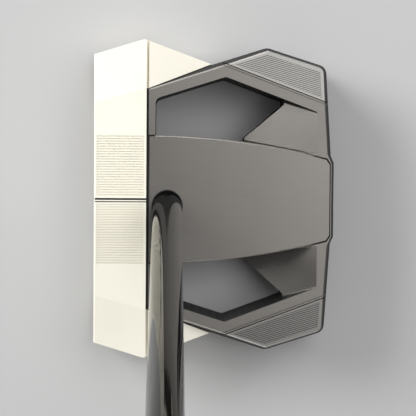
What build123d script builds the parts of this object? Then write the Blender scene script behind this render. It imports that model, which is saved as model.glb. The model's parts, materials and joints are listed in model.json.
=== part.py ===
"""Centre-shafted mallet putter, right-handed, as an assembly of separate pieces. Millimetres.

X runs from the striking face (-X, towards the target) to the back of the head, Y from heel to toe, Z up.
The origin lies on the flat sole, where the head's centre plane meets the shaft's vertical plane.
Outlines are given for the toe half, from front to back, and are mirrored for the heel.
"""

import os
from math import atan, cos, degrees, radians, sin, tan

from build123d import *

# --- Club ---------------------------------------------------------------------------------------
LIE = 70.0  # shaft above the ground, seen from the face, degrees
LOFT = 3.0  # face leans back, degrees
CLUB_LENGTH = 864.0  # 34 in, from the sole plane to the butt, along the shaft

# --- Head: heights and slopes -------------------------------------------------------------------
CROWN_Z = 25.0
CROWN_FALL = 1.8  # the crown falls towards the back, degrees
FRAME_STEP = 0.4  # rails lie this far under the crown plate
SHOULDER_Z = 18.4  # the frame's sides are plumb below this, and lean in above it
FLARE = 1.45  # the sides stand out this much at the shoulder
TUCK, TUCK_ANGLE = 2.6, 40.0  # the frame's lower edges run in towards the sole
SOLE_FLAT_Y, SOLE_RISE = 28.0, 9.5  # the front body's sole rises beyond this, degrees
LEADING_BEVEL = 1.2
END_PANEL_FALL = 8.0  # ends of the front strip fall away, degrees
SHELF_Z, SHELF_FALL, SHELF_SIDE_FALL = 24.5, 14.0, 6.0
CAP_FALL = 5.0  # wing caps fall outwards, degrees
EDGE = 0.35  # bevel on the visible top edges

# --- Head: outlines, toe half -------------------------------------------------------------------
FACE_X = -23.6  # top edge of the face
STRIP_BACK_X = -6.8  # back of the front strip
GASKET_THICK, GASKET_LOW_Z = 0.75, 1.5
FRAME_X = STRIP_BACK_X + GASKET_THICK
BACK_X = 53.1
FRAME_LEAD = 5.0  # the frame's outline starts this far ahead of its front wall, before the wall is cut
FRONT_SIDE = [(FACE_X, 46.7), (-7.6, 51.7)]
SHELF_TIP = (15.1, 43.7)
FRAME_SIDE = [(FRAME_X, 35.8), (32.3, 48.0)]
FRAME_BACK = [(50.3, 42.3), (52.1, 14.0), (BACK_X, 11.8)]
PLATE_SIDE = [(FRAME_X, 20.9), (23.8, 18.95), (51.9, 13.6)]  # side of the crown plate, one long arc
FOLD_LINE = [(FACE_X, 31.0), (STRIP_BACK_X, 35.8)]  # the strip's end panels fall away from here
SEAM_LINE = [(20.1, 43.3), (51.2, 31.7)]  # between rail and wing cap
RAIL_WIDTH = 3.8
WEB_THICK = 2.15  # the frame's front wall
RAMP_EDGE = [(25.6, 20.2), (38.2, 31.1)]  # front edge of the ramp floor behind each window
RAMP_START_X, RAMP_START_Z, RAMP_BACK_X = 25.6, 10.2, 48.8
RAMP_WALL_DRAFT, RAMP_BEVEL = 4.5, 0.45  # lean of the wall on the rail's side, bevel round the floor
WINDOW_CORNER = 2.0
WING_CORNER = 1.6
FRONT_CORNER = 3.0

# --- Front body and insert ----------------------------------------------------------------------
POCKET_WIDTH, POCKET_HEIGHT, POCKET_CORNER, POCKET_Z = 78.0, 17.0, 4.0, 12.4
INSERT_THICK, INSERT_PLATE_THICK, INSERT_PAD_THICK = 3.4, 0.6, 0.3
INSERT_FIT = 0.05
FACE_GROOVES, FACE_GROOVE_PITCH, FACE_GROOVE_WIDTH, FACE_GROOVE_DEPTH = 11, 1.3, 0.35, 0.3
LINE_COUNT, LINE_PITCH, FIRST_LINE = 24, 0.82, 1.57  # milled lines on each side of their middle
LINE_MIDDLE_Y = -0.15
LINE_WIDTH, LINE_DEPTH, LINE_MARGIN = 0.38, 0.3, 0.8
SIGHT_CHANNELS = [(-0.24, 0.40), (-0.98, -0.62)]  # the sight line's wide and narrow channel, in Y
SIGHT_DEPTH, SIGHT_SINK = 0.5, 0.06
GROOVE_DEPTH = 1.4
HORN_GAP = 0.3
PORT_X, PORT_Y, PORT_RADIUS, PORT_DEPTH = -14.0, 37.0, 5.4, 7.6
FLANGE_RADIUS, FLANGE_THICK, WEIGHT_RECESS, WASHER_THICK = 6.6, 1.5, 0.3, 0.5
WEIGHT_CLEARANCE, WEIGHT_HEX, WEIGHT_HEX_DEPTH = 0.2, 2.9, 2.6
CORE_X, CORE_Y, CORE_Z = (-17.5, STRIP_BACK_X), (3.0, 12.2), (5.0, 20.0)  # hollows behind the face
BODY_SCREW_Y, BODY_SCREW_Z, BODY_SCREW_LENGTH = 15.6, (6.6, 17.8), 11.0

# --- Rear frame and plates ----------------------------------------------------------------------
PLATE_THICK, PLATE_GAP, PLATE_CROWN_RADIUS = 2.4, 0.25, 1200.0
WALL = 2.3
SOLE_PLATE_THICK, SOLE_PLATE_LIP, SOLE_PLATE_FIT = 2.2, 1.3, 0.1
SOLE_SCREW_LENGTH, SOLE_SCREW_SINK = 6.0, 0.3
SCREW_ROOM = 2.0  # a tapped hole is this much deeper than its screw
HOSEL_RADIUS = 8.0
BOSS_POINTS = [(11.5, 15.6), (44.0, 11.0)]
BOSS_RADIUS = 3.4
CAP_FLOOR_Z, SEAM_GAP = 18.7, 0.3
SCRIBE_OFFSET, SCRIBE_WIDTH, SCRIBE_DEPTH = 0.8, 0.24, 0.6  # line engraved beside the seam
HATCH_COUNT, HATCH_PITCH, HATCH_WIDTH, HATCH_DEPTH = 62, 0.64, 0.32, 0.25
HATCH_START, HATCH_MARGIN = -20.9, 1.0
CAP_SCREW_POINTS = [(33.6, 42.3), (45.6, 37.8)]
CAP_SCREW_LENGTH, CAP_SCREW_BITE = 7.0, 3.4

# --- Screws: shank radius, head radius, head height, socket radius -------------------------------
M3 = (1.5, 2.75, 3.0, 1.4)
M2 = (1.0, 1.9, 1.3, 0.8)
SOCKET_SHARE, HEAD_CLEARANCE = 0.55, 0.15  # socket depth as a share of the head, room round the head

# --- Shaft and grip, measured along the shaft from the sole plane --------------------------------
SHAFT_CROWN_Y = -2.35  # the shaft's axis crosses the crown here
TIP_RADIUS, BUTT_RADIUS, SHAFT_WALL = 4.7, 7.62, 0.55
TIP_START, SHAFT_END = 4.4, CLUB_LENGTH - 4.4
FIRST_STEP, STEP_COUNT, STEP_SPACING, STEP_RUN = 255.0, 8, 38.0, 3.0
RING_RADIUS, RING_SINK = 5.0, 0.25
FIT = 0.05  # radial clearance round the shaft
TIP_PLUG_LENGTH = 16.0
GRIP_START = CLUB_LENGTH - 267.0
GRIP_MOUTH, GRIP_BUTT = (10.0, 10.4), (13.4, 15.2)  # half width, half depth
GRIP_FLAT = 0.78  # the flat lies at this share of the half depth
GRIP_CORNER = 0.3  # corner radius as a share of the half width
GRIP_CAP_LENGTH, GRIP_CAP_HOLE, GRIP_CAP_BEVEL = 4.0, 1.5, 1.0
TAPE_THICK, TAPE_INSET = 0.15, 2.0

# --- Derived, and sizes of cutters ----------------------------------------------------------------
BIG, TALL, OVERRUN = 400.0, 50.0, 1.0  # past everything, above the head, and past what a cutter cuts
FRAME_MIDDLE_X = (FRAME_X + BACK_X) / 2
SHAFT_SOLE_Y = SHAFT_CROWN_Y + CROWN_Z / tan(radians(LIE))
SHAFT_DIRECTION = (0, -cos(radians(LIE)), sin(radians(LIE)))
SHAFT = Plane(origin=(0, SHAFT_SOLE_Y, 0), x_dir=(1, 0, 0), z_dir=SHAFT_DIRECTION)
FACE = Plane(
    origin=(FACE_X - (CROWN_Z - POCKET_Z) * tan(radians(LOFT)), 0, POCKET_Z),
    x_dir=(0, 1, 0),
    z_dir=(-cos(radians(LOFT)), 0, sin(radians(LOFT))),
)
SHAFT_AXIS = Axis(SHAFT.origin, SHAFT.z_dir)
PORT = Plane(
    origin=(PORT_X, PORT_Y, (PORT_Y - SOLE_FLAT_Y) * tan(radians(SOLE_RISE))),
    x_dir=(1, 0, 0),
    z_dir=(0, -sin(radians(SOLE_RISE)), cos(radians(SOLE_RISE))),
)


# --- Helpers ------------------------------------------------------------------------------------
def closed(half):
    """A whole outline from its toe half."""
    return half + [(x, -y) for x, y in reversed(half)]


def polygon(points):
    return make_face(Polyline(*points, close=True))


def prism(face, low, high, taper=0.0):
    return extrude(Pos(0, 0, low) * face, high - low, dir=(0, 0, 1), taper=taper)


def block(x, y, z):
    """A box from three (low, high) pairs."""
    middle = [(low + high) / 2 for low, high in (x, y, z)]
    return Pos(*middle) * Box(*[high - low for low, high in (x, y, z)])


def disc(plane, radius, low, high):
    """A cylinder on a plane's normal, from low to high."""
    return plane * Pos(0, 0, (low + high) / 2) * Cylinder(radius, high - low)


def tube(plane, outer, inner, low, high):
    return disc(plane, outer, low, high) - disc(plane, inner, low - OVERRUN, high + OVERRUN)


def above(plane):
    return plane * Pos(0, 0, BIG / 2) * Box(BIG, BIG, BIG)


def heel_of(toe_shape):
    return mirror(toe_shape, about=Plane.XZ)


def both(toe_shape):
    """A toe shape and its heel twin, as one cutter or one group."""
    return Compound([toe_shape, heel_of(toe_shape)])


def cut(body, cutters):
    for cutter in cutters:
        body = body - cutter
    return body


def y_on(line, x):
    """Y of a two-point line at x."""
    (x0, y0), (x1, y1) = line
    return y0 + (y1 - y0) * (x - x0) / (x1 - x0)


def slope(line):
    (x0, y0), (x1, y1) = line
    return (y1 - y0) / (x1 - x0)


def crown_z(x, drop=0.0):
    return CROWN_Z - drop - (x - FRAME_X) * tan(radians(CROWN_FALL))


def crown_plane(drop=0.0):
    """The crown, falling towards the back, lowered by drop."""
    tilt = radians(CROWN_FALL)
    origin = (FRAME_X, 0, CROWN_Z - drop)
    return Plane(origin=origin, x_dir=(cos(tilt), 0, -sin(tilt)), z_dir=(sin(tilt), 0, cos(tilt)))


def falling_plane(start, end, fall):
    """A plane through two points that falls away to the left of the way from start to end."""
    along = (Vector(*end) - Vector(*start)).normalized()
    outward = Vector(-along.Y, along.X, 0).normalized()
    downhill = outward * cos(radians(fall)) - Vector(0, 0, sin(radians(fall)))
    return Plane(origin=start, x_dir=along, z_dir=along.cross(downhill))


def rail_inner(x):
    """Inner edge of the rail beside a wing cap."""
    return y_on(SEAM_LINE, x) - RAIL_WIDTH * (1 + slope(SEAM_LINE) ** 2) ** 0.5


def front_rail_inner(x):
    """Inner edge of the rail beside the front body's shelf."""
    return y_on(FRAME_SIDE, x) - RAIL_WIDTH * (1 + slope(FRAME_SIDE) ** 2) ** 0.5


def screw(size, length):
    """A socket head screw along +Z: head below zero, shank above."""
    shank, head, height, socket = size
    body = disc(Plane.XY, shank, 0, length) + disc(Plane.XY, head, -height, 0)
    return body - prism(RegularPolygon(socket, 6), -height - OVERRUN, -height * (1 - SOCKET_SHARE))


def screw_hole(size, length, clearance=0.0):
    """Room for a screw: a threaded hole and an open counterbore behind the head."""
    shank, head, _, _ = size
    return disc(Plane.XY, shank + clearance, 0, length) + disc(Plane.XY, head + HEAD_CLEARANCE, -TALL, 0)


# --- Shared forms -------------------------------------------------------------------------------
def leaning_prism(crown):
    """Tucked in at the sole, plumb sides, then leaning in to the crown outline."""
    widest = offset(crown, FLARE, kind=Kind.INTERSECTION)
    lean = degrees(atan(FLARE / (crown_z(FRAME_MIDDLE_X, FRAME_STEP) - SHOULDER_Z)))
    form = prism(widest, TUCK, SHOULDER_Z) + prism(widest, SHOULDER_Z, CROWN_Z + OVERRUN, taper=lean)
    return form + extrude(Pos(0, 0, TUCK) * widest, TUCK, dir=(0, 0, -1), taper=TUCK_ANGLE)


def frame_form(gap=0.0):
    """The rear frame's outside: the wings and the bridge's tail."""
    front = FRAME_X - FRAME_LEAD
    wings = polygon(closed([(front, y_on(FRAME_SIDE, front)), FRAME_SIDE[1]] + FRAME_BACK[:2]))
    wing_corners = wings.vertices().filter_by_position(Axis.X, FRAME_X, FRAME_BACK[0][0] + OVERRUN)
    wings = fillet(wing_corners, WING_CORNER)
    tail = polygon(closed([(front, FRAME_BACK[1][1])] + FRAME_BACK[1:]))
    if gap:
        wings = offset(wings, gap, kind=Kind.INTERSECTION)
    form = leaning_prism(wings) + leaning_prism(tail)
    return form & block((FRAME_X, BIG), (-BIG, BIG), (0, BIG))


def plate_face(inset=0.0, front=FRAME_X, back=BACK_X):
    """Outline of the crown plate: arc sides and clipped back corners."""
    start, middle, end = [(x, y - inset) for x, y in PLATE_SIDE]
    corner = (BACK_X, FRAME_BACK[-1][1] - inset)
    toe = ThreePointArc(start, middle, end) + Line(end, corner)
    across = Line(corner, (corner[0], -corner[1])) + Line((start[0], -start[1]), start)
    whole = make_face(toe + mirror(toe, about=Plane.XZ) + across)
    return whole & Pos((front + back) / 2, 0) * Rectangle(back - front, BIG)


def beyond_seam(gap=0.0):
    """Everything outside the seam between rail and wing cap, on the toe side."""
    start, end = [(x, y_on(SEAM_LINE, x) + gap) for x in (0, BIG / 4)]
    return polygon([start, end, (BIG / 4, BIG / 4), (0, BIG / 4)])


# --- Front body and what it carries -------------------------------------------------------------
def shelf_plane(side, drop=0.0):
    """The shelf behind the strip: falls to the back and outwards."""
    back, out = tan(radians(SHELF_FALL)), side * tan(radians(SHELF_SIDE_FALL))
    origin = (FRAME_X, side * FRAME_SIDE[0][1], SHELF_Z - drop)
    return Plane(origin=origin, x_dir=(1, 0, -back), z_dir=(back, out, 1))


def front_blank():
    """The front body before its small features."""
    toe_edge = FACE_X - CROWN_Z * tan(radians(LOFT))
    outline = polygon(closed([(toe_edge, y_on(FRONT_SIDE, toe_edge)), FRONT_SIDE[1], SHELF_TIP]))
    widest_x = FRONT_SIDE[1][0]
    rear_corners = outline.vertices().filter_by_position(Axis.X, widest_x - OVERRUN, widest_x + OVERRUN)
    body = prism(fillet(rear_corners, FRONT_CORNER), 0, CROWN_Z)
    body -= above(Plane(origin=FACE.origin, z_dir=FACE.z_dir))
    end_panel = above(falling_plane(*[(x, y, CROWN_Z) for x, y in FOLD_LINE], END_PANEL_FALL))
    sole_end = above(Plane(origin=(0, SOLE_FLAT_Y, 0), x_dir=(1, 0, 0), z_dir=-PORT.z_dir))
    body = cut(body, [end_panel, heel_of(end_panel), sole_end, heel_of(sole_end)])
    body -= above(Plane(origin=(toe_edge + LEADING_BEVEL, 0, 0), x_dir=(0, 1, 0), z_dir=(-1, 0, -1)))
    top_rim = body.edges().filter_by_position(Axis.X, -BIG, FACE_X + OVERRUN / 10).sort_by(Axis.Z)[-3:]
    body = chamfer(top_rim, EDGE)
    root = FRAME_SIDE[0][1]
    body -= block((STRIP_BACK_X, BIG), (-root, root), (-BIG, BIG))
    for side in (1, -1):
        ends = sorted((side * root, side * BIG))
        body -= above(shelf_plane(side)) & block((FRAME_X, BIG), ends, (0, BIG))
        body -= above(shelf_plane(side, GROOVE_DEPTH)) & block((STRIP_BACK_X, FRAME_X), ends, (0, BIG))
    return body - frame_form(HORN_GAP)


def milled_lines():
    """Fine alignment lines across the strip."""
    ends = (FACE_X + LINE_MARGIN, STRIP_BACK_X - LINE_MARGIN)
    lines = []
    for number in range(LINE_COUNT):
        for side in (1, -1):
            y = LINE_MIDDLE_Y + side * (FIRST_LINE + number * LINE_PITCH)
            sides = (y - LINE_WIDTH / 2, y + LINE_WIDTH / 2)
            lines.append(block(ends, sides, (CROWN_Z - LINE_DEPTH, CROWN_Z + OVERRUN)))
    return Compound(lines)


def sight_channels(start, end, low, high):
    return Compound([block((start, end), channel, (low, high)) for channel in SIGHT_CHANNELS])


def face_pocket(inset, low, high):
    """A slab of the insert pocket, between two depths behind the face."""
    outline = RectangleRounded(POCKET_WIDTH - 2 * inset, POCKET_HEIGHT - 2 * inset, POCKET_CORNER - inset)
    return FACE * extrude(Pos(0, 0, low) * outline, high - low, dir=(0, 0, 1))


def body_screw_places():
    sides = (-BODY_SCREW_Y, BODY_SCREW_Y)
    return [Pos(FRAME_X + WEB_THICK, y, z) * Rot(0, -90, 0) for y in sides for z in BODY_SCREW_Z]


def front_body():
    depth = INSERT_THICK + INSERT_PLATE_THICK + INSERT_PAD_THICK
    port = disc(PORT, FLANGE_RADIUS, -OVERRUN, WEIGHT_RECESS + FLANGE_THICK + WASHER_THICK)
    port += disc(PORT, PORT_RADIUS, 0, PORT_DEPTH)
    core = block(CORE_X, CORE_Y, CORE_Z)
    cutters = [milled_lines(), face_pocket(0, -depth, OVERRUN), both(port), both(core)]
    strip = (FACE_X - OVERRUN, STRIP_BACK_X + OVERRUN)
    cutters.append(sight_channels(*strip, CROWN_Z - SIGHT_DEPTH, CROWN_Z + OVERRUN))
    screw_room = disc(Plane.XY, M3[0], 0, BODY_SCREW_LENGTH + OVERRUN)
    cutters += [place * screw_room for place in body_screw_places()]
    return cut(front_blank(), cutters)


def face_insert():
    insert = face_pocket(INSERT_FIT, -INSERT_THICK, 0)
    for number in range(FACE_GROOVES):
        y = (number - (FACE_GROOVES - 1) / 2) * FACE_GROOVE_PITCH
        groove = Box(POCKET_WIDTH - 2 * POCKET_CORNER, FACE_GROOVE_WIDTH, 2 * FACE_GROOVE_DEPTH)
        insert -= FACE * Pos(0, y, 0) * groove
    return insert


def insert_plate():
    return face_pocket(INSERT_FIT, -INSERT_THICK - INSERT_PLATE_THICK, -INSERT_THICK)


def insert_pad():
    back = -INSERT_THICK - INSERT_PLATE_THICK
    return face_pocket(INSERT_FIT, back - INSERT_PAD_THICK, back)


def sight_line():
    heights = (CROWN_Z - SIGHT_DEPTH, CROWN_Z - SIGHT_SINK)
    return sight_channels(FACE_X + EDGE + INSERT_FIT, STRIP_BACK_X, *heights)


def damping_gasket():
    root = FRAME_SIDE[0][1]
    gasket = block((STRIP_BACK_X, FRAME_X), (-root, root), (GASKET_LOW_Z, CROWN_Z - GROOVE_DEPTH))
    hole = disc(Plane.XY, M3[0], 0, BODY_SCREW_LENGTH)
    return cut(gasket, [place * hole for place in body_screw_places()])


def sole_weight():
    """A screw-in weight: flange, stem and hexagon socket, in its port's frame."""
    top = WEIGHT_RECESS + FLANGE_THICK
    stem = disc(Plane.XY, PORT_RADIUS - WEIGHT_CLEARANCE, WEIGHT_RECESS, PORT_DEPTH - WEIGHT_CLEARANCE)
    flange = disc(Plane.XY, FLANGE_RADIUS - WEIGHT_CLEARANCE, WEIGHT_RECESS, top - WEIGHT_CLEARANCE / 2)
    weight = stem + flange
    rim = weight.edges().group_by(Axis.Z)[0]
    weight = chamfer(rim, EDGE)
    return PORT * (weight - prism(RegularPolygon(WEIGHT_HEX, 6), 0, WEIGHT_RECESS + WEIGHT_HEX_DEPTH))


def weight_washers():
    low = WEIGHT_RECESS + FLANGE_THICK
    return both(tube(PORT, FLANGE_RADIUS - INSERT_FIT, PORT_RADIUS, low, low + WASHER_THICK))


def body_screws():
    return Compound([place * screw(M3, BODY_SCREW_LENGTH) for place in body_screw_places()])


# --- Rear frame and what it carries -------------------------------------------------------------
def window():
    """The open window of the toe side, beside the crown plate."""
    left, right = FRAME_X + WEB_THICK, RAMP_EDGE[1][0]
    apex_x = (front_rail_inner(0) - rail_inner(0)) / (slope(SEAM_LINE) - slope(FRAME_SIDE))
    start, end = RAMP_EDGE
    points = [(left, PLATE_SIDE[-1][1]), (left, front_rail_inner(left)), (apex_x, front_rail_inner(apex_x))]
    points += [(right, rail_inner(right)), end, start, (start[0], PLATE_SIDE[-1][1])]
    outline = polygon(points)
    corners = outline.vertices().filter_by_position(Axis.Y, PLATE_SIDE[0][1], BIG)
    corners = corners.filter_by_position(Axis.X, FRAME_X, apex_x + OVERRUN)
    return prism(fillet(corners, WINDOW_CORNER) - plate_face(), -OVERRUN, TALL)


def ramp_point(x, y):
    """A point on the ramp's floor."""
    floor = [(RAMP_START_X, RAMP_START_Z), (RAMP_BACK_X, crown_z(RAMP_BACK_X, FRAME_STEP))]
    return (x, y, y_on(floor, x))


def ramp():
    """The hollow above a ramp: flat floor, leaning wall on the rail's side, bevels along both walls."""
    ends = (RAMP_START_X - OVERRUN, RAMP_BACK_X + OVERRUN)
    low = PLATE_SIDE[-1][1] - OVERRUN
    rail_edge = [(x, rail_inner(x), crown_z(x, FRAME_STEP)) for x in ends]
    outline = polygon([(ends[0], low)] + [point[:2] for point in rail_edge] + [(ends[1], low)])
    hollow = prism(outline - plate_face(), 0, TALL)
    hollow &= above(falling_plane(*[ramp_point(x, 0) for x in ends], 0))
    hollow -= above(falling_plane(*rail_edge, 90 + RAMP_WALL_DRAFT))
    rail_foot, bridge_foot = [], []
    for x, y, z in rail_edge:
        lean = (z - ramp_point(x, y)[2]) * tan(radians(RAMP_WALL_DRAFT))
        rail_foot.append(ramp_point(x, y - lean - RAMP_BEVEL))
        bridge_foot.insert(0, ramp_point(x, y_on(PLATE_SIDE[1:], x) + 2 * RAMP_BEVEL))
    hollow &= above(falling_plane(*rail_foot, -45))
    return hollow & above(falling_plane(*bridge_foot, -45))


def cavity():
    """The room inside the bridge, round the hosel and the bosses."""
    room = prism(plate_face(WALL, FRAME_X + WEB_THICK, BACK_X - WALL - FLARE), -OVERRUN, TALL)
    room -= disc(SHAFT, HOSEL_RADIUS, -TALL, TALL)
    for x, y in BOSS_POINTS:
        room -= both(disc(Plane((x, y, 0)), BOSS_RADIUS, -OVERRUN, TALL))
    return room


def cap_room(gap=0.0):
    return prism(beyond_seam(gap), CAP_FLOOR_Z, TALL)


def cap_screw_places():
    return [Pos(x, y, CAP_FLOOR_Z + CAP_SCREW_BITE - CAP_SCREW_LENGTH) for x, y in CAP_SCREW_POINTS]


def sole_plate_face(fit=0.0):
    """The sole plate's outline, a little wider than the room it closes."""
    back = BACK_X - WALL - FLARE + SOLE_PLATE_LIP
    return plate_face(WALL - SOLE_PLATE_LIP + fit, FRAME_X + WEB_THICK + fit, back - fit)


def sole_screw_places():
    return [Pos(x, side * y, M2[2] + SOLE_SCREW_SINK) for x, y in BOSS_POINTS for side in (1, -1)]


def rear_frame():
    body = frame_form() - above(crown_plane(FRAME_STEP))
    top = body.faces().sort_by(Axis.Z)[-1]
    outer_rim = [edge for edge in top.edges() if abs(edge.center().Y) > FRAME_BACK[1][1] + OVERRUN]
    body = chamfer(outer_rim, EDGE)
    plate_seat = prism(plate_face(), 0, TALL) & above(crown_plane(PLATE_THICK))
    scribe = prism(beyond_seam(-SCRIBE_OFFSET) - beyond_seam(SCRIBE_WIDTH - SCRIBE_OFFSET), 0, TALL)
    scribe &= above(crown_plane(FRAME_STEP + SCRIBE_DEPTH))
    bore = disc(SHAFT, TIP_RADIUS + FIT, TIP_START - FIT, TALL)
    cutters = [plate_seat, both(window()), both(ramp()), cavity(), both(cap_room()), both(scribe), bore]
    cutters.append(prism(sole_plate_face(), -OVERRUN, SOLE_PLATE_THICK))
    cutters += [both(place * screw_hole(M2, CAP_SCREW_LENGTH, FIT)) for place in cap_screw_places()]
    tapped = disc(Plane.XY, M2[0], 0, SOLE_SCREW_LENGTH + SCREW_ROOM)
    cutters += [place * tapped for place in sole_screw_places()]
    through = disc(Plane.XY, M3[0] + FIT, -OVERRUN, WEB_THICK + OVERRUN)
    through += disc(Plane.XY, M3[1] + HEAD_CLEARANCE, -M3[2], 0)
    cutters += [place * through for place in body_screw_places()]
    return cut(body, cutters)


def wing_cap():
    """The toe wing's end cap: flared sides, a top that falls outwards, and fine hatching."""
    (x0, y0), (x1, y1) = SEAM_LINE
    top = falling_plane((x0, y0, crown_z(x0, FRAME_STEP)), (x1, y1, crown_z(x1, FRAME_STEP)), CAP_FALL)
    cap = (frame_form() & cap_room(SEAM_GAP)) - above(top)
    crown_face = cap.faces().sort_by(Axis.Z)[-1]
    seam = falling_plane((x0, y0 + OVERRUN, 0), (x1, y1 + OVERRUN, 0), 0)
    rim = [edge for edge in crown_face.edges() if seam.to_local_coords(edge.center()).Y > 0]
    cap = chamfer(rim, EDGE)
    turn = degrees(atan(slope(FRAME_SIDE)) - atan(slope(SEAM_LINE)))
    cuts = []
    for number in range(HATCH_COUNT):
        row = top * Rot(0, 0, turn) * Pos(0, HATCH_START + HATCH_PITCH * number, 0)
        cuts.append(row * Box(BIG, HATCH_WIDTH, 2 * HATCH_DEPTH))
    outer = offset(polygon(closed(FRAME_SIDE + FRAME_BACK)), -HATCH_MARGIN)
    cap -= Compound(cuts) & prism(beyond_seam(HATCH_MARGIN), 0, TALL) & prism(outer, 0, TALL)
    screw_room = disc(Plane.XY, M2[0], 0, CAP_SCREW_LENGTH + FIT)
    return cut(cap, [place * screw_room for place in cap_screw_places()])


def wing_cap_screws():
    return Compound([both(place * screw(M2, CAP_SCREW_LENGTH)) for place in cap_screw_places()])


def crown_plate():
    plate = prism(plate_face(PLATE_GAP), 0, TALL) & above(crown_plane(PLATE_THICK))
    dome = Pos(0, 0, -PLATE_CROWN_RADIUS) * Rot(90, 0, 0) * Sphere(PLATE_CROWN_RADIUS)
    plate = plate & (crown_plane() * Pos(FRAME_MIDDLE_X - FRAME_X, 0, 0) * dome)
    plate = chamfer(plate.faces().sort_by(Axis.Z)[-1].edges(), EDGE)
    return plate - disc(SHAFT, RING_RADIUS + FIT, 0, TALL)


def sole_plate():
    plate = prism(sole_plate_face(SOLE_PLATE_FIT), 0, SOLE_PLATE_THICK)
    holes = [place * screw_hole(M2, SOLE_SCREW_LENGTH, FIT) for place in sole_screw_places()]
    return cut(plate, holes)


def sole_plate_screws():
    return Compound([place * screw(M2, SOLE_SCREW_LENGTH) for place in sole_screw_places()])


# --- Shaft and grip -----------------------------------------------------------------------------
def shaft_ring():
    ring = tube(SHAFT, RING_RADIUS, TIP_RADIUS + FIT, 0, TALL)
    return (ring & above(crown_plane(PLATE_THICK))) - above(crown_plane(RING_SINK))


def shaft_outline(inset):
    """The stepped shaft's radius and place, from tip to butt."""
    growth = (BUTT_RADIUS - TIP_RADIUS) / STEP_COUNT
    points = [(TIP_RADIUS - inset, TIP_START)]
    for number in range(STEP_COUNT):
        start = FIRST_STEP + number * STEP_SPACING
        radius = TIP_RADIUS - inset + number * growth
        points += [(radius, start), (radius + growth, start + STEP_RUN)]
    return points + [(BUTT_RADIUS - inset, SHAFT_END)]


def shaft():
    section = polygon(shaft_outline(0) + list(reversed(shaft_outline(SHAFT_WALL))))
    return SHAFT * revolve(Rot(90, 0, 0) * section, Axis.Z)


def tip_plug():
    return disc(SHAFT, TIP_RADIUS - SHAFT_WALL, TIP_START, TIP_START + TIP_PLUG_LENGTH)


def grip_tape():
    return tube(SHAFT, BUTT_RADIUS + TAPE_THICK, BUTT_RADIUS, GRIP_START + TAPE_INSET, SHAFT_END)


def grip_section(size, place):
    """A D-shaped section, flat on the side away from the golfer's palms."""
    half_width, half_depth = size
    flat = half_depth * GRIP_FLAT
    section = Ellipse(half_width, half_depth) & Pos(0, flat - BIG / 2) * Rectangle(BIG, BIG)
    corners = section.vertices().sort_by(Axis.Y)[-2:]
    return SHAFT * Pos(0, 0, place) * fillet(corners, half_width * GRIP_CORNER)


def grip_form(start, end):
    form = loft([grip_section(GRIP_MOUTH, GRIP_START), grip_section(GRIP_BUTT, CLUB_LENGTH)])
    return form & (SHAFT * Pos(0, 0, (start + end) / 2) * Box(BIG, BIG, end - start))


def grip():
    form = grip_form(GRIP_START, CLUB_LENGTH - GRIP_CAP_LENGTH)
    form -= disc(SHAFT, BUTT_RADIUS, GRIP_START - OVERRUN, CLUB_LENGTH)
    return form - disc(SHAFT, BUTT_RADIUS + TAPE_THICK, GRIP_START + TAPE_INSET, CLUB_LENGTH)


def grip_cap():
    cap = grip_form(CLUB_LENGTH - GRIP_CAP_LENGTH, CLUB_LENGTH)
    cap = chamfer(cap.faces().sort_by(SHAFT_AXIS)[-1].edges(), GRIP_CAP_BEVEL)
    return cap - disc(SHAFT, GRIP_CAP_HOLE, SHAFT_END, CLUB_LENGTH + OVERRUN)


# --- Assembly -----------------------------------------------------------------------------------
def main():
    toe_cap = wing_cap()
    toe_weight = sole_weight()
    nodes = {
        "front_body": front_body(),
        "face_insert": face_insert(),
        "insert_plate": insert_plate(),
        "insert_pad": insert_pad(),
        "sight_line": sight_line(),
        "damping_gasket": damping_gasket(),
        "toe_weight": toe_weight,
        "heel_weight": heel_of(toe_weight),
        "weight_washers": weight_washers(),
        "body_screws": body_screws(),
        "rear_frame": rear_frame(),
        "crown_plate": crown_plate(),
        "toe_wing_cap": toe_cap,
        "heel_wing_cap": heel_of(toe_cap),
        "wing_cap_screws": wing_cap_screws(),
        "sole_plate": sole_plate(),
        "sole_plate_screws": sole_plate_screws(),
        "shaft_ring": shaft_ring(),
        "shaft": shaft(),
        "tip_plug": tip_plug(),
        "grip_tape": grip_tape(),
        "grip": grip(),
        "grip_cap": grip_cap(),
    }
    os.makedirs("parts", exist_ok=True)
    for name, shape in nodes.items():
        export_step(shape, f"parts/{name}.step")


main()
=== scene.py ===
"""Looks for the mallet putter: materials, smooth shaft, moulded grip, light, floor and camera.

Blender works in metres. Sizes given in millimetres are multiplied by MM where they are used.
"""

import json
from math import cos, hypot, pi, radians, sin, tan

import bpy
from mathutils import Matrix, Vector

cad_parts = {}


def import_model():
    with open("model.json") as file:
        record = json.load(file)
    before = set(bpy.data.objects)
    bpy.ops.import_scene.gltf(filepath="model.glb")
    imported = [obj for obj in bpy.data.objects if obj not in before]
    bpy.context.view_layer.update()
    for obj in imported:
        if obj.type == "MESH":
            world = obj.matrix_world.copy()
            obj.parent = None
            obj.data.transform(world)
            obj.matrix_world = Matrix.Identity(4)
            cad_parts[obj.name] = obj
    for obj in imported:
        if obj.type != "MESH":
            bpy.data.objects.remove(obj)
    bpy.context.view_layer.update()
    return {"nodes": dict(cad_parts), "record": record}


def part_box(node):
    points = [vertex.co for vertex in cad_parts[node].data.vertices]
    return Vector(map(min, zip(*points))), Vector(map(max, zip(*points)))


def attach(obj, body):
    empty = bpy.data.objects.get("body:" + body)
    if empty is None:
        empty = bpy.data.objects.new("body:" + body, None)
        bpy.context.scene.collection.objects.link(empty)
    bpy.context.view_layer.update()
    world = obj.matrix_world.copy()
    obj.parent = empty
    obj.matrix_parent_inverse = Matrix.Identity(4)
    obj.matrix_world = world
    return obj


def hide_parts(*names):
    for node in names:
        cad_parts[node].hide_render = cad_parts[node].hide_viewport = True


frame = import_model()
nodes = frame["nodes"]
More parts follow.
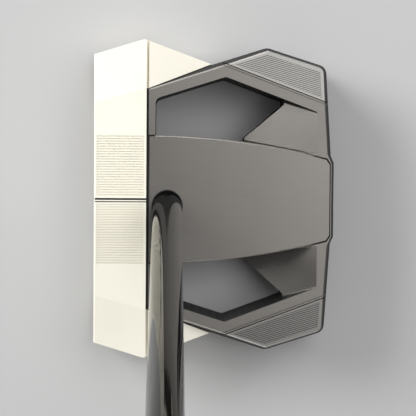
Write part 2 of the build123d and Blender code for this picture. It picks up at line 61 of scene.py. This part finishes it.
MM = 0.001

# --- Places, from the frame ------------------------------------------------------------------------
CROWN_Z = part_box("front_body")[1].z
GRIP_HOLD = next(mount for mount in frame["record"]["mounts"] if mount["name"] == "grip_hold")
ALONG = Vector(GRIP_HOLD["axis"]).normalized()  # up the shaft
RIGHT = Vector((1, 0, 0))
AHEAD = ALONG.cross(RIGHT)  # the side the grip's flat faces
GRIP_PLACE = Vector(GRIP_HOLD["pos_m"])
FOOT = GRIP_PLACE - ALONG * (GRIP_PLACE.z / ALONG.z)  # where the shaft's line meets the sole plane

# --- Front body and face, millimetres --------------------------------------------------------------
LOFT = 3.0  # the face leans back, degrees
LINE_BAND_EDGE = (21.5, 22.2)  # the milled lines end here, each side of the centre plane
LINE_HOLLOW = (0.1, 0.22)  # from here down a point is in a milled line
CHANNEL_DEPTH = (0.4, 0.6)  # from here down it is below the lines
FACE_GROOVE = (0.1, 0.2)

# --- Wing caps, millimetres: their tops fall outwards from the seam --------------------------------
CROWN_FALL, CAP_FALL = 1.8, 5.0  # degrees
FRAME_STEP, CROWN_FRONT_X = 0.4, -6.05
SEAM_LINE = [(20.1, 43.3), (51.2, 31.7)]
HATCH_HOLLOW = (0.1, 0.2)
HATCH_TURN = radians(17.65)

# --- Shaft and grip sizes, millimetres -------------------------------------------------------------
CLUB_LENGTH, SHAFT_START, SHAFT_END = 864.0, 4.4, 859.6
TIP_RADIUS, BUTT_RADIUS, SHAFT_WALL = 4.7, 7.62, 0.55
FIRST_STEP, STEP_COUNT, STEP_SPACING, STEP_RUN = 255.0, 8, 38.0, 3.0
GRIP_START, CAP_START, TAPE_RADIUS = 597.0, 860.0, 7.78
GRIP_MOUTH, GRIP_BUTT, GRIP_FLAT = (10.0, 10.4), (13.4, 15.2), 0.78
CAP_ROUND, CAP_HOLE = 1.6, 1.5
SHAFT_SIDES, GRIP_SIDES, GRIP_STEPS = 144, 192, 500

# --- Moulded pattern of the grip: lengths in millimetres, edges as shares of half a turn -----------
PATTERN_END, BLANK_BAND, PATTERN_FADE = 9.0, (792, 828), 2.0
FLAT_EDGE, BACK_EDGE = (0.21, 0.235), (0.32, 0.345)
CHEVRON_PITCH, CHEVRON_SLANT, CHEVRON_DEPTH, CHEVRON_SIDES = 4.2, 34, 0.42, (0.16, 0.42)
DIAMOND_PITCH, DIAMOND_SLANT, DIAMOND_DEPTH, DIAMOND_SIDES = 3.6, 62, 0.3, (0.12, 0.4)


# --- Node helpers ----------------------------------------------------------------------------------
class Shader:
    """A material's node tree, with short ways to add and join nodes."""

    def __init__(self, name, **values):
        self.material = bpy.data.materials.new(name)
        self.material.use_nodes = True
        self.tree = self.material.node_tree
        self.surface = self.tree.nodes["Principled BSDF"]
        self.place = self.tree.nodes.new("ShaderNodeTexCoord").outputs["Object"]
        for socket, value in values.items():
            self.surface.inputs[socket.replace("_", " ")].default_value = value

    def node(self, kind, inputs=(), **settings):
        made = self.tree.nodes.new("ShaderNode" + kind)
        for key, value in settings.items():
            setattr(made, key, value)
        for key, value in dict(inputs).items():
            self.put(made.inputs[key], value)
        return made

    def put(self, socket, value):
        if isinstance(value, bpy.types.NodeSocket):
            self.tree.links.new(value, socket)
        else:
            socket.default_value = value

    def set(self, socket, value):
        self.put(self.surface.inputs[socket], value)

    def scaled(self, scale, turn=(0, 0, 0)):
        mapping = self.node("Mapping", {"Vector": self.place, "Scale": scale, "Rotation": turn})
        return mapping.outputs["Vector"]

    def noise(self, scale, detail=3.0, stretch=(1, 1, 1), turn=(0, 0, 0)):
        where = self.scaled(stretch, turn)
        return self.node("TexNoise", {"Vector": where, "Scale": scale, "Detail": detail}).outputs["Fac"]

    def waves(self, pitch, distortion=0.0, turn=(0, 0, 0)):
        """Bands that run along X, a pitch apart in metres."""
        where = self.scaled((1, 1, 1), turn)
        inputs = {"Vector": where, "Scale": pi / 10 / pitch, "Distortion": distortion, "Detail Scale": 2.0}
        return self.node("TexWave", inputs, bands_direction="Y").outputs["Fac"]

    def maths(self, operation, *values):
        return self.node("Math", dict(enumerate(values)), operation=operation).outputs["Value"]

    def spread(self, value, low, high, out_low=0.0, out_high=1.0):
        inputs = {"Value": value, "From Min": low, "From Max": high, "To Min": out_low, "To Max": out_high}
        return self.node("MapRange", inputs).outputs["Result"]

    def blend(self, factor, first, second):
        made = self.node("Mix", data_type="RGBA")
        self.put(made.inputs["Factor"], factor)
        self.put(made.inputs["A"], colour(first))
        self.put(made.inputs["B"], colour(second))
        return made.outputs["Result"]

    def bump(self, height, strength, distance):
        inputs = {"Height": height, "Strength": strength, "Distance": distance}
        return self.node("Bump", inputs).outputs["Normal"]

    def along(self, direction, where=None):
        """Distance of the point along a direction."""
        inputs = {0: self.place if where is None else where, 1: direction}
        return self.node("VectorMath", inputs, operation="DOT_PRODUCT").outputs["Value"]

    def below(self, height, top, depths):
        """0 above the first depth below top, 1 under the second; depths in millimetres."""
        return self.spread(height, top - depths[1] * MM, top - depths[0] * MM, 1, 0)


def colour(value):
    if isinstance(value, bpy.types.NodeSocket) or len(value) == 4:
        return value
    return (*value, 1.0)


def paint(material, *names):
    for name in names:
        thing = nodes.get(name) or bpy.data.objects[name]
        thing.data.materials.clear()
        thing.data.materials.append(material)


# --- Shaft and grip --------------------------------------------------------------------------------
def swept(name, rings, replaced):
    """A closed skin through rings of points; the last ring joins the first."""
    count = len(rings[0])
    faces = []
    for number in range(len(rings)):
        this, following = number * count, (number + 1) % len(rings) * count
        for k in range(count):
            after = (k + 1) % count
            faces.append((this + k, this + after, following + after, following + k))
    mesh = bpy.data.meshes.new(name)
    mesh.from_pydata([point for loop in rings for point in loop], [], faces)
    mesh.polygons.foreach_set("use_smooth", [True] * len(faces))
    mesh.update()
    thing = bpy.data.objects.new(name, mesh)
    bpy.context.scene.collection.objects.link(thing)
    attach(thing, "club")
    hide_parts(replaced)


def ring(place, radius_at, count):
    """Points round the shaft's line, radius_at giving the radius at each angle from +X towards the flat."""
    points = []
    for number in range(count):
        angle = 2 * pi * number / count
        way = RIGHT * cos(angle) + AHEAD * sin(angle)
        points.append(FOOT + (ALONG * place + way * radius_at(angle)) * MM)
    return points


def smooth_shaft():
    """The stepped tube, with soft steps."""
    growth = (BUTT_RADIUS - TIP_RADIUS) / STEP_COUNT
    bevel = 0.3
    profile = [(SHAFT_START, TIP_RADIUS - bevel), (SHAFT_START + bevel, TIP_RADIUS)]
    for number in range(STEP_COUNT):
        start, radius = FIRST_STEP + number * STEP_SPACING, TIP_RADIUS + number * growth
        for share in (0.0, 0.12, 0.3, 0.5, 0.7, 0.88, 1.0):
            rise = share * share * (3 - 2 * share)
            profile.append((start + share * STEP_RUN, radius + growth * rise))
    profile.append((SHAFT_END, BUTT_RADIUS))
    profile += [(SHAFT_END, BUTT_RADIUS - SHAFT_WALL), (SHAFT_START, TIP_RADIUS - SHAFT_WALL)]
    rings = [ring(place, lambda angle, r=radius: r, SHAFT_SIDES) for place, radius in profile]
    swept("shaft_smooth", rings, "shaft")


def grip_radius(place, angle):
    """Radius of the grip's D-shaped outside, with soft corners."""
    sharpness = 14
    share = (place - GRIP_START) / (CLUB_LENGTH - GRIP_START)
    width, depth = [low + (high - low) * share for low, high in zip(GRIP_MOUTH, GRIP_BUTT)]
    oval = width * depth / hypot(depth * cos(angle), width * sin(angle))
    flat = depth * GRIP_FLAT / max(sin(angle), 0.001)
    return (oval ** -sharpness + flat ** -sharpness) ** (-1 / sharpness)


def step_between(value, low, high):
    share = min(max((value - low) / (high - low), 0.0), 1.0)
    return share * share * (3 - 2 * share)


def within(place, start, end):
    """1 between start and end, fading out inside them."""
    fade_in = step_between(place, start, start + PATTERN_FADE)
    return fade_in * (1 - step_between(place, end - PATTERN_FADE, end))


def sawtooth(place, pitch):
    """Distance from the nearest groove's middle: 0 in the groove, 1 halfway to the next."""
    return abs((place / pitch) % 1 - 0.5) * 2


def grip_relief(place, angle):
    """Depth of the moulded pattern: V grooves down the flat, small diamonds round the back."""
    ends = within(place, GRIP_START + PATTERN_END, CAP_START - PATTERN_END + PATTERN_FADE)
    blank = within(place, *BLANK_BAND)
    across = (angle - pi / 2) / pi
    on_flat = 1 - step_between(abs(across), *FLAT_EDGE)
    on_back = step_between(abs((across + 1) % 2 - 1), *BACK_EDGE)
    chevron = sawtooth(place + abs(across) * CHEVRON_SLANT, CHEVRON_PITCH)
    groove = 1 - step_between(chevron, *CHEVRON_SIDES)
    diagonals = [sawtooth(place + way * across * DIAMOND_SLANT, DIAMOND_PITCH) for way in (1, -1)]
    diamond = 1 - step_between(min(diagonals), *DIAMOND_SIDES)
    return ends * (CHEVRON_DEPTH * groove * on_flat * (1 - blank) + DIAMOND_DEPTH * diamond * on_back)


def moulded_radius(place, angle):
    return grip_radius(place, angle) - grip_relief(place, angle)


def moulded_grip():
    """The grip with its moulded pattern, rounded mouth and bore."""
    rings = []
    for inset in (1.0, 0.5, 0.15):
        lift = 1 - (1 - inset * inset) ** 0.5
        place = GRIP_START + lift
        rings.append(ring(place, lambda angle: grip_radius(GRIP_START, angle) - inset, GRIP_SIDES))
    for number in range(GRIP_STEPS + 1):
        place = GRIP_START + 1 + (CAP_START - GRIP_START - 1) * number / GRIP_STEPS
        rings.append(ring(place, lambda angle: moulded_radius(place, angle), GRIP_SIDES))
    rings += [ring(place, lambda angle: TAPE_RADIUS, GRIP_SIDES) for place in (CAP_START, GRIP_START)]
    swept("grip_moulded", rings, "grip")


def rounded_cap():
    """The grip's end cap, rounded over, with its vent hole and a shallow dish."""
    rings = [ring(CAP_START, lambda angle: CAP_HOLE, GRIP_SIDES)]
    rings.append(ring(CAP_START, lambda angle: grip_radius(CAP_START, angle), GRIP_SIDES))
    for degrees_up in range(0, 91, 15):
        inset = CAP_ROUND * (1 - cos(radians(degrees_up)))
        place = CLUB_LENGTH - CAP_ROUND * (1 - sin(radians(degrees_up)))
        rings.append(ring(place, lambda angle: grip_radius(CAP_START, angle) - inset, GRIP_SIDES))
    dish = [(9.4, 0.0), (9.0, 0.1), (8.7, 0.35), (8.2, 0.4), (CAP_HOLE + 0.3, 0.4), (CAP_HOLE, 0.7)]
    for radius, sink in dish:
        rings.append(ring(CLUB_LENGTH - sink, lambda angle: radius, GRIP_SIDES))
    swept("grip_cap_rounded", rings, "grip_cap")


smooth_shaft()
moulded_grip()
rounded_cap()


# --- Materials -------------------------------------------------------------------------------------
METAL, CAP_METAL, SOLE_METAL = (0.172, 0.163, 0.151), (0.25, 0.243, 0.232), (0.09, 0.09, 0.09)
# Near-black wall colours: painted shade standing in for the shadow on the side walls.
WALL_SHADE, SOLE_WALL_SHADE = (0.02, 0.0195, 0.019), (0.05, 0.05, 0.05)


def white_metal():
    """Cream satin coat over fine milling, with painted shade in the hollows of the lines."""
    shader = Shader("white_front", Metallic=0.0, Coat_Weight=0.15, Coat_Roughness=0.25)
    cloudy = shader.spread(shader.noise(35, 2), 0.35, 0.65)
    coat = shader.blend(cloudy, (0.90, 0.87, 0.76), (0.87, 0.83, 0.715))
    place = shader.node("SeparateXYZ", {"Vector": shader.place}).outputs
    low = shader.below(place["Z"], CROWN_Z, LINE_HOLLOW)
    deep = shader.spread(place["Z"], CROWN_Z - CHANNEL_DEPTH[1] * MM, CROWN_Z - CHANNEL_DEPTH[0] * MM)
    band_start, band_end = [edge * MM for edge in LINE_BAND_EDGE]
    banded = shader.spread(shader.maths("ABSOLUTE", place["Y"]), band_start, band_end, 1, 0)
    # Painted shade: the bottoms of the milled lines get a darker cream that stands in for their shadow.
    painted_line_shade = shader.maths("MULTIPLY", shader.maths("MULTIPLY", low, deep), banded)
    shader.set("Base Color", shader.blend(painted_line_shade, coat, (0.80, 0.77, 0.65)))
    grain = shader.noise(1100, 3, stretch=(5, 1, 1))
    shader.set("Roughness", shader.spread(grain, 0.3, 0.7, 0.38, 0.5))
    shader.set("Normal", shader.bump(grain, 0.25, 0.00002))
    return shader.material


def cap_hatch_shade(shader):
    """1 in the hatching of the wing caps, 0 elsewhere, by the distance below a cap's top; it marks where
    painted shade goes.
    """
    frame_top = CROWN_Z / MM - FRAME_STEP
    fall = tan(radians(CROWN_FALL))
    ends = [Vector((x, y, frame_top - (x - CROWN_FRONT_X) * fall)) for x, y in SEAM_LINE]
    along = (ends[1] - ends[0]).normalized()
    outward = Vector((-along.y, along.x, 0)).normalized()
    slope = outward * cos(radians(CAP_FALL)) - Vector((0, 0, sin(radians(CAP_FALL))))
    up = along.cross(slope).normalized()
    mirrored = shader.node("VectorMath", {0: shader.place}, operation="ABSOLUTE").outputs["Vector"]
    return shader.below(shader.along(up, mirrored), up.dot(ends[0]) * MM, HATCH_HOLLOW)


def dark_metal(name, tone, turn=0.0, wall_shade=WALL_SHADE, hatched=False):
    """Satin dark metal: milled tops, and walls, picked by their normal, given a near-black, weakly glossy
    colour as painted shade.
    """
    pitch, lines, rough = 0.9 * MM, 0.05, 0.36
    shader = Shader(name)
    normal = shader.node("NewGeometry").outputs["Normal"]
    upward = shader.node("SeparateXYZ", {"Vector": normal}).outputs["Z"]
    top = shader.spread(upward, 0.3, 0.6)
    shader.set("Metallic", shader.spread(top, 0, 1, 0, 0.9))
    shader.set("Specular IOR Level", shader.spread(top, 0, 1, 0.2, 0.5))
    stripes = shader.waves(pitch, 2.0, (0, 0, turn))
    grain = shader.noise(900, 3, stretch=(0.12, 1.6, 1), turn=(0, 0, turn))
    finish = shader.maths("ADD", stripes, shader.spread(grain, 0.3, 0.7))
    cloudy = shader.spread(shader.noise(22, 3), 0.35, 0.65, -0.04, 0.04)
    shade = shader.maths("ADD", shader.spread(finish, 0, 2, 1 - lines, 1 + lines), cloudy)
    milled = shader.node("VectorMath", {0: tone, "Scale": shade}, operation="SCALE").outputs["Vector"]
    if hatched:
        # Painted shade: the hatching's hollows on the wing caps are darkened to half the tone.
        milled = shader.blend(cap_hatch_shade(shader), milled, tuple(channel * 0.5 for channel in tone))
    # Painted shade: surfaces facing sideways get the near-black wall colour, tops get the milled metal.
    shader.set("Base Color", shader.blend(top, wall_shade, milled))
    milled_rough = shader.spread(finish, 0, 2, rough - 0.04, rough + 0.05)
    shader.set("Roughness", shader.maths("ADD", milled_rough, shader.spread(top, 0, 1, 0.25, 0)))
    shader.set("Normal", shader.bump(finish, 0.2, 0.00001))
    return shader.material


def insert_urethane():
    """Matte moulded urethane, with painted shade in the face's grooves."""
    shader = Shader("insert_urethane")
    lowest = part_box("face_insert")[0]
    facing = Vector((-cos(radians(LOFT)), 0, sin(radians(LOFT))))
    face = facing.dot(Vector((lowest.x, 0, lowest.z)))
    groove = shader.below(shader.along(facing), face, FACE_GROOVE)
    grain = shader.noise(1800, 3)
    surface = shader.blend(grain, (0.60, 0.59, 0.54), (0.66, 0.65, 0.60))
    # Painted shade: the face's grooves are darkened to about half the urethane's tone.
    shader.set("Base Color", shader.blend(groove, surface, (0.30, 0.29, 0.27)))
    shader.set("Roughness", shader.spread(grain, 0.3, 0.7, 0.45, 0.6))
    shader.set("Normal", shader.bump(grain, 0.2, 0.00002))
    return shader.material


def rubber(name, tone=(0.012, 0.012, 0.013), rough=0.62):
    shader = Shader(name, Metallic=0.0)
    grain = shader.noise(2500, 2)
    shader.set("Base Color", shader.blend(grain, tone, tuple(channel * 1.8 for channel in tone)))
    shader.set("Roughness", shader.spread(grain, 0.3, 0.7, rough - 0.06, rough + 0.06))
    shader.set("Normal", shader.bump(grain, 0.3, 0.00002))
    return shader.material


def bright_steel(name, tone, rough):
    """Turned steel with fine streaks."""
    shader = Shader(name, Metallic=1.0)
    grain = shader.noise(1500, 2, stretch=(1, 12, 1))
    shader.set("Base Color", shader.blend(grain, tone, tuple(channel * 1.15 for channel in tone)))
    shader.set("Roughness", shader.spread(grain, 0.3, 0.7, rough - 0.05, rough + 0.06))
    shader.set("Normal", shader.bump(grain, 0.15, 0.00001))
    return shader.material


def gloss_black(name):
    """Polished black plating, with the faintest smudges."""
    rough = 0.03
    shader = Shader(name, Metallic=0.0, IOR=1.3)
    smudge = shader.noise(45, 4)
    shader.set("Base Color", shader.blend(smudge, (0.004, 0.004, 0.004), (0.008, 0.007, 0.006)))
    shader.set("Roughness", shader.spread(smudge, 0.35, 0.7, rough, rough + 0.03))
    return shader.material


paint(white_metal(), "front_body")
paint(dark_metal("frame_metal", METAL), "rear_frame")
paint(dark_metal("plate_metal", METAL), "crown_plate")
paint(dark_metal("cap_metal", CAP_METAL, HATCH_TURN, hatched=True), "toe_wing_cap", "heel_wing_cap")
paint(dark_metal("sole_metal", SOLE_METAL, wall_shade=SOLE_WALL_SHADE), "sole_plate")
paint(rubber("enamel_black", (0.003, 0.003, 0.003), 0.45), "sight_line", "shaft_ring")
gasket = rubber("gasket_black", (0.004, 0.004, 0.004))
paint(gasket, "damping_gasket", "insert_pad", "weight_washers", "tip_plug")
paint(insert_urethane(), "face_insert")
paint(bright_steel("weight_steel", (0.5, 0.5, 0.5), 0.3), "toe_weight", "heel_weight", "insert_plate")
screw_black = bright_steel("screw_black", (0.08, 0.08, 0.08), 0.3)
paint(screw_black, "body_screws", "wing_cap_screws", "sole_plate_screws")
paint(gloss_black("shaft_black"), "shaft_smooth")
paint(rubber("grip_rubber"), "grip_moulded", "grip_cap_rounded")
paint(rubber("tape_paper", (0.5, 0.45, 0.33), 0.8), "grip_tape")


# --- Stage -----------------------------------------------------------------------------------------
def floor():
    """A plain pale plane just under the sole."""
    half = 15.0
    verts = [(x * half, y * half, -0.2 * MM) for x, y in ((-1, -1), (1, -1), (1, 1), (-1, 1))]
    mesh = bpy.data.meshes.new("floor")
    mesh.from_pydata(verts, [], [(0, 1, 2, 3)])
    thing = bpy.data.objects.new("floor", mesh)
    bpy.context.scene.collection.objects.link(thing)
    shader = Shader("floor_pale", Roughness=0.9)
    shader.surface.inputs["Base Color"].default_value = (0.5, 0.5, 0.5, 1)
    mesh.materials.append(shader.material)


def light(name, place, size, power, spread=180, aim=(0.02, 0, 0)):
    """A soft panel aimed at the head; a narrow spread keeps it off the floor below it."""
    lamp = bpy.data.lights.new(name, "AREA")
    lamp.shape = "RECTANGLE"
    lamp.size, lamp.size_y = size
    lamp.energy = power
    lamp.spread = radians(spread)
    thing = bpy.data.objects.new(name, lamp)
    thing.location = place
    thing.rotation_mode = "QUATERNION"
    thing.rotation_quaternion = (Vector(aim) - Vector(place)).to_track_quat("-Z", "Y")
    bpy.context.scene.collection.objects.link(thing)


def world(strength):
    made = bpy.data.worlds.new("studio")
    made.use_nodes = True
    background = made.node_tree.nodes["Background"]
    background.inputs["Color"].default_value = (1, 1, 1, 1)
    background.inputs["Strength"].default_value = strength
    bpy.context.scene.world = made


def camera():
    eye = Vector((0.8, 16.0, 467.0)) * MM
    target = Vector((13.2, -2.65, 25.0)) * MM
    image_up = Vector((-0.0070, 1.0, 0.0))
    lens, sensor = 118.6, 36.0
    data = bpy.data.cameras.new("camera")
    data.lens, data.sensor_width = lens, sensor
    data.clip_start, data.clip_end = 0.01, 50.0
    thing = bpy.data.objects.new("camera", data)
    back = (eye - target).normalized()
    right = image_up.cross(back).normalized()
    up = back.cross(right)
    turn = Matrix((right, up, back)).transposed()
    thing.matrix_world = Matrix.Translation(eye) @ turn.to_4x4()
    bpy.context.scene.collection.objects.link(thing)
    bpy.context.scene.camera = thing


floor()
world(0.22)
light("ceiling", (0.73, 0.42, 1.7), (1.8, 1.4), 19.5, aim=(0.03, 0, 0))
light("front_toe", (-1.16, 0.68, 0.70), (1.0, 0.7), 5.1, spread=75)
light("toe_low", (0.0, 1.5, 0.24), (1.6, 0.4), 3.0, spread=80)
light("heel_low", (0.0, -1.5, 0.24), (1.6, 0.4), 1.9, spread=80)
camera()
bpy.context.scene.view_settings.view_transform = "Standard"
